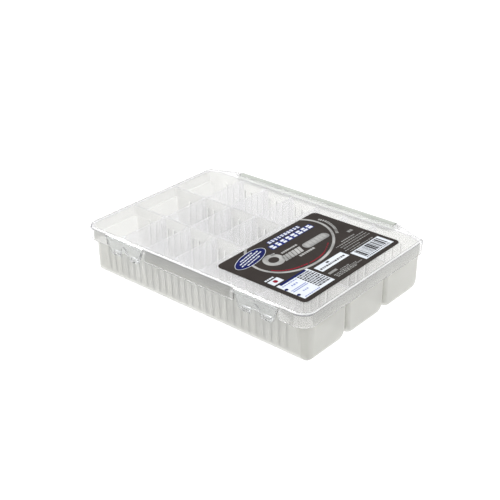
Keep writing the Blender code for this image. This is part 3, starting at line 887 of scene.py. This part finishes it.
def make_tray():
    steps = [(ADD, trough_outer(centre)) for centre in ROW_CENTRES[1:]]
    front = ROW_CENTRES[0] - wall_half(TROUGH_TOP, -WALL)
    steps.append((CUT, corner_shapes(TRAY_HALF_X, front, TRAY_FRONT_CORNER_R)))
    rim = prism(shoulder_outline(0.0, SHOULDER_BACK_R), SHOULDER_LOW, RIM_TOP)
    bevel_where(rim, SHOULDER_LOW_R, 3, level_rim(SHOULDER_LOW))
    web = box_solid(
        (-BAR_HALF, BAR_HALF),
        (TRAY_BACK_INNER + WALL / 2, AXIS_Y),
        (AXIS_Z - BAR_R, AXIS_Z - WEB_STEP),
    )
    bar_rod = rod_solid(BAR_R, (-BAR_HALF, BAR_HALF), AXIS_Y, AXIS_Z, BAR_SIDES, BAR_END_R)
    bores = hinge_rods(BAR_BORE_R, PIN_INNER_X - TOUCH_GAP, TOOL_Y, BORE_SIDES)
    steps += [(ADD, rim), (ADD, web), (ADD, bar_rod)]
    steps += [(CUT, cavity()), (CUT, bores)]
    shape = carve(trough_outer(ROW_CENTRES[0]), *steps)
    bevel_where(shape, TRAY_RIM_R, 2, level_rim(RIM_TOP))
    tray = finished("tray_shell", shape, "base", ["tray"], TRAY_PLASTIC, "tray_plastic")
    mesh = tray.data
    paint(
        tray,
        (BAR_PLASTIC, lambda face: face.center.y > TRAY_BACK_INNER + WALL + TOUCH_GAP),
        (RIB_PLASTIC, lambda face: on_rib(mesh, face) and abs(face.normal.x) <= RIB_SIDE_TURN),
        # Painted shade on the rib sides
        (RIB_SIDE_PAINTED_SHADE, lambda face: on_rib(mesh, face)),
        # Painted shade on the rim's top faces
        (TOP_PAINTED_SHADE_PLASTIC, lambda face: face.center.z > RIM_TOP - TOUCH_GAP and face.normal.z > UPWARD),
    )


def on_rib(mesh, face):
    """True for the narrow faces of the ribs, whose thicker plastic is paler; their sides get painted shade,
    dark lines in place of the light the rib edges bend away.
    """
    across = [mesh.vertices[i].co.x for i in face.vertices]
    narrow = max(across) - min(across) < RIB_WIDTH + TOUCH_GAP
    in_slots = abs(face.center.x) < (RIBS_EACH_SIDE + 0.5) * SLOT_PITCH
    return narrow and in_slots and face.center.z > RIB_LOW


# ---- dividers


def divider_shape():
    """One divider about X = 0, in a row centred on Y = 0: a web with a flange at each end."""
    low = FLOOR + DIVIDER_GAP
    section = trough_section(0.0, DIVIDER_GAP, low, DIVIDER_TOP, TROUGH_R - WALL)
    web = side_prism(section, -DIVIDER_WEB / 2, DIVIDER_WEB / 2)
    flange_low = FLOOR + TROUGH_R
    flanges = []
    for side in SIDES:
        top = side * wall_half(DIVIDER_TOP, DIVIDER_GAP)
        foot = side * wall_half(flange_low, DIVIDER_GAP)
        strip = [
            (foot, flange_low),
            (top, DIVIDER_TOP),
            (top - side * DIVIDER_FLANGE, DIVIDER_TOP),
            (foot - side * DIVIDER_FLANGE, flange_low),
        ]
        if side < 0:
            strip.reverse()
        flanges.append(side_prism(strip, -DIVIDER_FLANGE_WIDTH / 2, DIVIDER_FLANGE_WIDTH / 2))
    return carve(web, (ADD, merged(flanges)))


def on_divider_top(face):
    return face.normal.z > UPWARD and face.center.z > DIVIDER_TOP - TOUCH_GAP


def make_dividers():
    for row, centre in enumerate(ROW_CENTRES):
        for index in range(DIVIDERS_PER_ROW):
            shape = divider_shape()
            x = FIRST_DIVIDER_X + index * SLOTS_PER_DIVIDER * SLOT_PITCH
            bmesh.ops.translate(shape, verts=shape.verts, vec=(x, centre, 0))
            name = f"{ROW_NAMES[row]}_{index + 1}"
            cad = [f"divider_{name}"]
            look = (DIVIDER_PLASTIC, "divider_plastic")
            divider = finished(f"web_{name}", shape, "base", cad, *look, soften=DIVIDER_EDGE_R)
            # Painted shade on the divider's top faces
            paint(divider, (TOP_PAINTED_SHADE_PLASTIC, on_divider_top))


# ---- lid


def lid_outline(inset):
    return chamfered_outline(
        LENGTH / 2 - inset,
        -WIDTH / 2 + inset,
        WIDTH / 2 - inset - LID_BACK_INSET,
        LID_CORNER_R - inset,
        inset,
        max(LID_BACK_CORNER_R - inset, LEAST_BACK_R),
    )


def wedge_recess(x_deep, x_end, z_deep, z_end, depth):
    """A shallow ramp in the skirt's front face that runs out at x_end."""
    face = -WIDTH / 2 - BEYOND / 2
    deep = -WIDTH / 2 + depth
    low = LID_SKIRT_LOW - BEYOND
    shape = bmesh.new()
    corners = [
        (x_deep, face, z_deep),
        (x_deep, deep, z_deep - depth),
        (x_deep, deep, low),
        (x_deep, face, low),
        (x_end, face, z_end),
        (x_end, face, low),
    ]
    a, b, c, d, e, f = [shape.verts.new(corner) for corner in corners]
    shape.faces.new((a, b, c, d))
    shape.faces.new((a, d, f, e))
    shape.faces.new((a, e, b))
    shape.faces.new((b, e, f, c))
    shape.faces.new((c, f, d))
    bmesh.ops.recalc_face_normals(shape, faces=shape.faces)
    return shape


def make_lid():
    shell = prism(lid_outline(0.0), LID_SKIRT_LOW, LID_TOP)
    bevel_where(shell, LID_EDGE_R, 6, level_rim(LID_TOP))
    inside = prism(lid_outline(LID_WALL), TOOL_LOW, LID_TOP - LID_PLATE)
    bevel_where(inside, LID_INNER_R, 3, level_rim(LID_TOP - LID_PLATE))
    low_back = box_solid((-TOOL_X, TOOL_X), (BACK_SKIRT_Y, TOOL_Y), (TOOL_LOW, BACK_SKIRT_LOW))
    notch = box_solid((-EAR_INNER_X, EAR_INNER_X), (BAR_NOTCH_Y, TOOL_Y), (TOOL_LOW, TOOL_HIGH))
    ears = hinge_rods(EAR_R, EAR_INNER_X, EAR_OUTER_X, EAR_SIDES)
    ear_bores = hinge_rods(EAR_BORE_R, EAR_INNER_X - BEYOND, EAR_OUTER_X + BEYOND, BORE_SIDES)
    bosses = []
    windows = []
    bores = []
    for side in SIDES:
        x = side * LATCH_X
        across = (x - WINDOW_HALF, x + WINDOW_HALF)
        windows.append(box_solid(across, (-TOOL_Y, BOSS_BACK + BEYOND), (TOOL_LOW, WINDOW_TOP)))
        bosses.append(
            box_solid(
                (x - WINDOW_HALF - BOSS, x + WINDOW_HALF + BOSS),
                (-WIDTH / 2 + LID_WALL / 2, BOSS_BACK),
                (LATCH_AXIS_Z - BOSS_DROP, LID_TOP - LID_PLATE / 2),
            )
        )
        bores.append(latch_rod(STUB_BORE_R, x, LATCH_HALF_TOP + LATCH_STUB + TOUCH_GAP, STUB_SIDES))
    ramps = []
    for side in SIDES:
        for x_deep, x_end, z_deep, z_end, depth in (OUTER_RAMP, INNER_RAMP):
            ramps.append(wedge_recess(side * x_deep, side * x_end, z_deep, z_end, depth))
    shape = carve(
        shell,
        (CUT, inside),
        (CUT, low_back),
        (CUT, notch),
        (ADD, ears),
        (CUT, ear_bores),
        (ADD, merged(bosses)),
        (CUT, merged(windows)),
        (CUT, merged(ramps)),
        (CUT, merged(bores)),
    )
    bevel_where(shape, LID_LOW_R, 2, level_rim(LID_SKIRT_LOW))
    for side in SIDES:
        whole = shape.verts[:] + shape.edges[:] + shape.faces[:]
        beside_latch = Vector((side * BESIDE_LATCH_X, 0, 0))
        bmesh.ops.bisect_plane(shape, geom=whole, plane_co=beside_latch, plane_no=Vector((1, 0, 0)))
    lid = finished("lid_shell", shape, "lid", ["lid"], LID_PLASTIC, "lid_plastic")
    paint(lid, (SKIRT_PAINTED_SHADE_PLASTIC, on_skirt), (EDGE_PAINTED_SHADE_PLASTIC, on_painted_shade_edge), (PAINTED_HIGHLIGHT_PLASTIC, on_highlight))


def on_skirt(face):
    """The end walls, and the front wall between the latches, which get the painted shade."""
    across_x = abs(face.normal.x) > SQUARE_ON
    across_y = abs(face.normal.y) > SQUARE_ON
    front = across_y and face.center.y < -WIDTH / 2 + LID_WALL + TOUCH_GAP
    end = across_x and abs(face.center.x) > LENGTH / 2 - LID_WALL / 2
    return end or (front and abs(face.center.x) < BESIDE_LATCH_X)


def on_fillet(face):
    return face.center.z > LID_TOP - LID_EDGE_R and NEARLY_UPRIGHT < face.normal.z < NEARLY_LEVEL


def on_painted_shade_edge(face):
    """Where dark painted shade lines go: the rounded top edge at the left and back and low at the front,
    and the corner inside it.
    """
    x, y, z = face.normal
    if on_fillet(face):
        return x < -LEANING or y > LEANING or z < TURNED_AWAY
    inner_corner = face.center.z > LID_TOP - LID_PLATE - 2 * LID_INNER_R
    return inner_corner and -NEARLY_LEVEL < z < -NEARLY_UPRIGHT and (x > LEANING or y < -LEANING)


# The faces that carry the painted highlight
def on_highlight(face):
    return on_fillet(face) and face.normal.z < HIGHLIGHT_TURN


# ---- latches


def latch_front():
    """The latch seen from the front, in X and Z: it narrows downwards and dips round the button."""
    dip = arc((0.0, LATCH_LOW), THUMB_DIP_HALF, 180, 0, 14)
    dip = [(x, LATCH_LOW + (z - LATCH_LOW) * THUMB_DIP / THUMB_DIP_HALF) for x, z in dip]
    right = rounded(
        [(THUMB_DIP_HALF, LATCH_LOW), (LATCH_HALF_LOW, LATCH_LOW), (LATCH_HALF_TOP, LATCH_AXIS_Z)],
        [0, LATCH_FOOT_R, 0],
    )
    left = [(-x, z) for x, z in reversed(right)]
    return right + left + dip[1:-1]


def tube(points, radius, sides=10):
    """A round bead along points, closed at both ends."""
    shape = bmesh.new()
    rings = []
    count = len(points)
    for i, point in enumerate(points):
        along = (Vector(points[min(i + 1, count - 1)]) - Vector(points[max(i - 1, 0)])).normalized()
        across = along.cross(Vector((0, 1, 0))).normalized()
        out = along.cross(across).normalized()
        size = radius * (BEAD_END if i in (0, count - 1) else 1.0)
        ring = []
        for k in range(sides):
            a = 2 * math.pi * k / sides
            ring.append(shape.verts.new(Vector(point) + size * (math.cos(a) * across + math.sin(a) * out)))
        rings.append(ring)
    for first, second in zip(rings, rings[1:]):
        for k in range(sides):
            n = (k + 1) % sides
            shape.faces.new((first[k], first[n], second[n], second[k]))
    shape.faces.new(rings[0])
    shape.faces.new(rings[-1])
    bmesh.ops.recalc_face_normals(shape, faces=shape.faces)
    return shape


def smooth_line(points, per_step=6):
    """A Catmull-Rom curve through the points."""
    full = [points[0]] + list(points) + [points[-1]]
    made = []
    for i in range(1, len(full) - 2):
        p0, p1, p2, p3 = (Vector(full[k]) for k in (i - 1, i, i + 1, i + 2))
        for step in range(per_step):
            t = step / per_step
            bend = 2 * p0 - 5 * p1 + 4 * p2 - p3
            twist = 3 * p1 - p0 - 3 * p2 + p3
            made.append(0.5 * ((2 * p1) + (p2 - p0) * t + bend * t * t + twist * t ** 3))
    made.append(Vector(points[-1]))
    return made


def latch_bead(x):
    """The raised wavy rim on the latch's front: two lobes and an arch over the button."""
    y = -WIDTH / 2 + BEAD_R + BEAD_SINK
    points = [(-dx, z) for dx, z in reversed(BEAD_PATH)] + BEAD_PATH[1:]
    return tube(smooth_line([(x + dx, y, z) for dx, z in points]), BEAD_R)


def make_latch(name, x):
    plate = front_prism(latch_front(), LATCH_FACE, LATCH_FACE + LATCH_PLATE)
    bmesh.ops.translate(plate, verts=plate.verts, vec=(x, 0, 0))

    def outer_rim(edge):
        flat = [abs(face.normal.y) for face in edge.link_faces]
        low_side = any(v.co.z < LATCH_AXIS_Z - WELD for v in edge.verts)
        return low_side and max(flat) > SQUARE_ON and min(flat) < TURNED_AWAY

    bevel_where(plate, LATCH_EDGE_R, 2, outer_rim)
    barrel = latch_rod(LATCH_BARREL_R, x, LATCH_HALF_TOP, BORE_SIDES)
    stub = latch_rod(LATCH_STUB_R, x, LATCH_HALF_TOP + LATCH_STUB, STUB_SIDES)
    hooks = merged(
        box_solid(
            (x + side * HOOK_INNER, x + side * HOOK_OUTER),
            (LATCH_FACE + LATCH_PLATE / 2, HOOK_TIP),
            (HOOK_LOW, HOOK_TOP),
        )
        for side in SIDES
    )
    button = front_prism(arc((x, BUTTON_Z), BUTTON_R, 0, 345, 23), -WIDTH / 2, LATCH_FACE + LATCH_PLATE / 2)

    def button_rim(edge):
        return all(abs(v.co.y + WIDTH / 2) < WELD for v in edge.verts)

    bevel_where(button, BUTTON_EDGE_R, 3, button_rim)
    added = (barrel, stub, hooks, button, latch_bead(x))
    shape = carve(plate, *((ADD, tool) for tool in added))
    finished(f"{name}_flap", shape, name, [name], LATCH_PLASTIC, "latch_plastic")


def make_pins():
    for side, name in ((-1, "left"), (1, "right")):
        span = (side * PIN_INNER_X, side * PIN_OUTER_X)
        shape = rod_solid(PIN_R, span, AXIS_Y, AXIS_Z, PIN_SIDES, PIN_END_R)
        finished(f"pin_{name}", shape, "lid", [f"hinge_pin_{name}"], STEEL, "steel")


# ---- card


def card_outline(inset=0.0):
    half_x = CARD_WIDTH / 2 - inset
    half_y = CARD_DEPTH / 2 - inset
    return rounded_rectangle(CARD_X, CARD_Y, half_x, half_y, CARD_R - inset, 8)


def on_card(points):
    """Card coordinates to the frame."""
    return [(CARD_X - v, CARD_Y + u) for u, v in points]


def ink_heights(layer):
    return CARD_TOP + (layer - INK_SINK) * INK, CARD_TOP + (layer + 1) * INK


def ink(points, layer=0):
    """A printed shape, in its layer on the card."""
    return prism(on_card(points), *ink_heights(layer))


def bar(u, v, length, height, lean=0.0, turn=0.0):
    """A bar centred on U and V: lean slants it like an italic, and turn is in degrees."""
    half_u = length / 2
    half_v = height / 2
    corners = [(i * half_u + j * lean * half_v, j * half_v) for i, j in CORNERS]
    return turned(corners, u, v, turn)


def turned(points, u, v, degrees):
    c = math.cos(math.radians(degrees))
    s = math.sin(math.radians(degrees))
    return [(u + c * x - s * y, v + s * x + c * y) for x, y in points]


def oval(u, v, half_long, half_short, turn, steps=72):
    angles = [2 * math.pi * i / steps for i in range(steps)]
    points = [(half_long * math.cos(a), half_short * math.sin(a)) for a in angles]
    return turned(points, u, v, turn)


def pill(u, v, length, height):
    return rounded_rectangle(u, v, length / 2, height / 2, PILL_ROUNDING * height / 2, 6)


def words(draw, line, layer=0, turn=0.0):
    """A line of blank words, from one U to another."""
    start, end, v, height, (shortest, longest, gap) = line
    shapes = []
    u = start
    while u < end - shortest:
        length = min(draw.uniform(shortest, longest), end - u)
        middle = u + length / 2
        rise = (middle - (start + end) / 2) * math.tan(math.radians(turn))
        shapes.append(ink(bar(middle, v + rise, length, height, 0.0, turn), layer))
        u += length + gap
    return shapes


def word_lines(draw, lines, layer=0):
    return [shape for line in lines for shape in words(draw, line, layer)]


def bar_row(start, end, pitch, v, length, height, lean, layer=0):
    """Equal slanted bars at a pitch along a line."""
    shapes = []
    u = start
    while u < end:
        shapes.append(ink(bar(u, v, length, height, lean), layer))
        u += pitch
    return shapes


def stripes(draw, layer):
    """Upright bars of random widths, which encode nothing."""
    start, end, v, height = STRIPES
    shapes = []
    u = start
    while u < end:
        width = draw.choice(STRIPE_WIDTHS)
        shapes.append(ink(bar(u + width / 2, v, width, height), layer))
        u += width + draw.choice(STRIPE_GAPS)
    return shapes


def path_bars(points, count, length, height, layer=0):
    """Short bars along a smooth line."""
    line = smooth_line([(u, v, 0.0) for u, v in points])
    shapes = []
    for i in range(count):
        at = (i + 0.5) / count * (len(line) - 1)
        k = min(int(at), len(line) - 2)
        point = line[k].lerp(line[k + 1], at - k)
        along = line[k + 1] - line[k]
        turn = math.degrees(math.atan2(along.y, along.x))
        shapes.append(ink(bar(point.x, point.y, length, height, 0.0, turn), layer))
    return shapes


def ring(u, v, outer, inner, turn, layer=0):
    """A band between two ovals, kept inside the card."""
    low, high = ink_heights(layer)
    whole = ink(oval(u, v, *outer, turn), layer)
    hole = prism(on_card(oval(u, v, *inner, turn)), low - BEYOND, high + BEYOND)
    inside = prism(card_outline(PRINT_MARGIN), low - BEYOND, high + BEYOND)
    return carve(whole, (CUT, hole), (KEEP, inside))


def headline(draw):
    """Two rows of plain white blocks on blue: (white shapes, blue shapes)."""
    white = []
    blue = []
    wider, higher = HEADLINE_FIELD
    for start, end, v, size, pitch in HEADLINE_ROWS:
        for i in range(round((end - start) / pitch)):
            u = start + (i + 0.5) * pitch
            blue.append(ink(bar(u, v, pitch * wider, size * higher, HEADLINE_LEAN)))
            upper = draw.uniform(*UPPER_BLOCK) * size
            lower = BLOCKS_HEIGHT * size - upper
            top = v + BLOCKS_TOP * size
            low = top - upper - BLOCKS_GAP * size
            for height, middle in ((upper, top - upper / 2), (lower, low - lower / 2)):
                length = pitch * draw.uniform(*BLOCK_LENGTH)
                white.append(ink(bar(u, middle, length, height, HEADLINE_LEAN), 1))
    return white, blue


def badge(draw):
    """The blue oval with a white rim and four blank lines."""
    rim = ring(*BADGE_CENTRE, *BADGE_RIM, BADGE_TURN, 1)
    u, v = BADGE_CENTRE
    lines = []
    for rise, half in BADGE_LINES:
        line = (u - half, u + half, v + rise, TEXT_HEIGHT, LONG_WORDS)
        lines += words(draw, line, 2, BADGE_TURN)
    return [rim] + lines, [ink(oval(*BADGE_CENTRE, *BADGE_FIELD, BADGE_TURN), 1)]


def emblem(draw):
    """The ring with a pale tail, a slanted block and a pill, all blank."""
    silver = [ring(*EMBLEM_RING), ink(EMBLEM_TAIL)]
    silver += bar_row(*EMBLEM_BARS) + bar_row(*PILL_BARS, 1)
    silver += word_lines(draw, EMBLEM_LINES)
    return silver, [ink(pill(*PILL))]


def small_print(draw):
    """Blank lines of grey text at the card's right and foot."""
    grey = words(draw, TEXT_HEAD)
    for line in TEXT_LINES:
        grey += words(draw, (*line, TEXT_HEIGHT, TEXT_WORDS))
    grey.append(ink(bar(*TEXT_BAR)))
    grey += words(draw, SIDE_LINE)
    return words(draw, NOTE_LINE), grey


def panels(draw):
    """The white fields with their dark, blue and red marks."""
    white = [ink(bar(*field)) for field in WHITE_FIELDS]
    dark = word_lines(draw, PANEL_LINES, 1) + stripes(draw, 1)
    dark += words(draw, CAPTION_LINE, 1) + word_lines(draw, LIST_LINES, 1)
    blue = [ink(bar(*BLUE_BAR), 1)]
    blue += [ink(oval(-0.0488, v, 0.0014, 0.0012, 0, 20), 1) for v in (-0.0185, -0.0285)]
    pale = word_lines(draw, PALE_LINES, 1) + [ink(bar(*mark), 1) for mark in PALE_BARS]
    red = [ink(rounded(bar(*RED_MARK), [0.0012] * 4, 5), 1)]
    return white, dark, blue, pale, red


def make_card():
    shape = prism(card_outline(), CARD_LOW, CARD_TOP)
    bevel_where(shape, CARD_EDGE_R, 2, level_rim(CARD_TOP))
    finished("card_film", shape, "lid", ["lid_card"], CARD_INK, "card")
    draw = random.Random(7)
    head_white, head_blue = headline(draw)
    badge_white, badge_blue = badge(draw)
    silver, pill_grey = emblem(draw)
    text_white, text_grey = small_print(draw)
    panel_white, dark, panel_blue, pale, red = panels(draw)
    silver.append(ring(*PRINT_RING))
    silver += path_bars(SILVER_TRAIL, 15, 0.0012, 0.0022)
    red += path_bars(RED_TRAIL, 14, 0.0017, 0.0011)
    red += path_bars(THIN_RED_TRAIL, 18, 0.0014, 0.0008)
    inks = (
        ("white", WHITE_INK, head_white + badge_white + text_white + panel_white),
        ("blue", BLUE_INK, badge_blue + panel_blue),
        ("headline_blue", HEADLINE_BLUE, head_blue),
        ("pale_blue", PALE_BLUE_INK, pale),
        ("silver", SILVER_INK, silver),
        ("grey", GREY_INK, pill_grey + text_grey),
        ("red", RED_INK, red),
        ("dark", DARK_INK, dark),
    )
    for colour, material, shapes in inks:
        finished(f"print_{colour}", merged(shapes), "lid", [], material, "card")


make_tray()
make_dividers()
make_lid()
make_latch("latch_left", -LATCH_X)
make_latch("latch_right", LATCH_X)
make_pins()
make_card()


# ---- floor and light

FLOOR_RADIUS = 4.0
FLOOR_DROP = 0.0001
FLOOR_GLOW = 0.92
HORIZON_HEIGHTS = (0.15, 0.50)
HORIZON_STRENGTHS = (0.62, 0.95)
CAMERA_AZIMUTH = 41.18
CAMERA_ELEVATION = 27.70
CAMERA_ROLL = -0.0171
CAMERA_LENS = 69.44
CAMERA_DISTANCE = 0.7065
CAMERA_TARGET = Vector((-0.00634, 0.00091, 0.01969))


def make_floor():
    shape = bmesh.new()
    bmesh.ops.create_circle(shape, cap_ends=True, segments=96, radius=FLOOR_RADIUS)
    floor = object_from("floor", shape)
    floor.location.z = -FLOOR_DROP
    made, _, shader = shader_of("pale floor")
    shader.inputs["Base Color"].default_value = (0.25, 0.25, 0.25, 1)
    shader.inputs["Emission Color"].default_value = (1.0, 1.0, 1.0, 1)
    shader.inputs["Emission Strength"].default_value = FLOOR_GLOW
    shader.inputs["Roughness"].default_value = 0.9
    shader.inputs["Specular IOR Level"].default_value = 0.0
    floor.data.materials.append(made)


def make_world():
    """A white room, a little darker towards the horizon."""
    world = bpy.data.worlds.new("studio")
    world.use_nodes = True
    tree = world.node_tree
    strength = height_share(tree, "Generated", HORIZON_HEIGHTS, HORIZON_STRENGTHS)
    tree.links.new(strength, tree.nodes["Background"].inputs["Strength"])
    tree.nodes["Background"].inputs["Color"].default_value = (1.0, 1.0, 1.0, 1)
    bpy.context.scene.world = world


def placed(name, data, location, rotation):
    obj = bpy.data.objects.new(name, data)
    obj.location = location
    obj.rotation_mode = "QUATERNION"
    obj.rotation_quaternion = rotation
    bpy.context.scene.collection.objects.link(obj)
    return obj


def make_light(name, location, size, watts):
    data = bpy.data.lights.new(name, "AREA")
    data.shape = "DISK"
    data.size = size
    data.energy = watts
    placed(name, data, location, Vector(location).to_track_quat("Z", "Y"))


def make_camera():
    """The photograph's view, from the front right and above."""
    azimuth = math.radians(CAMERA_AZIMUTH)
    elevation = math.radians(CAMERA_ELEVATION)
    level = Vector((0, -math.cos(elevation), math.sin(elevation)))
    back = Matrix.Rotation(azimuth, 3, "Z") @ level
    data = bpy.data.cameras.new("camera")
    data.sensor_width = 36.0
    data.lens = CAMERA_LENS
    data.clip_start = 0.01
    data.clip_end = 20.0
    roll = Matrix.Rotation(CAMERA_ROLL, 3, "Z").to_quaternion()
    aim = (-back).to_track_quat("-Z", "Y") @ roll
    bpy.context.scene.camera = placed("camera", data, CAMERA_TARGET + back * CAMERA_DISTANCE, aim)


make_floor()
make_world()
make_light("key", (-0.75, -0.20, 1.02), 0.7, 8.0)
make_light("top", (0.1, 0.35, 1.3), 1.2, 4.0)
make_camera()

scene = bpy.context.scene
scene.view_settings.view_transform = "Standard"
scene.cycles.max_bounces = 24
scene.cycles.transmission_bounces = 20
scene.cycles.glossy_bounces = 6
scene.cycles.diffuse_bounces = 4
scene.cycles.transparent_max_bounces = 24
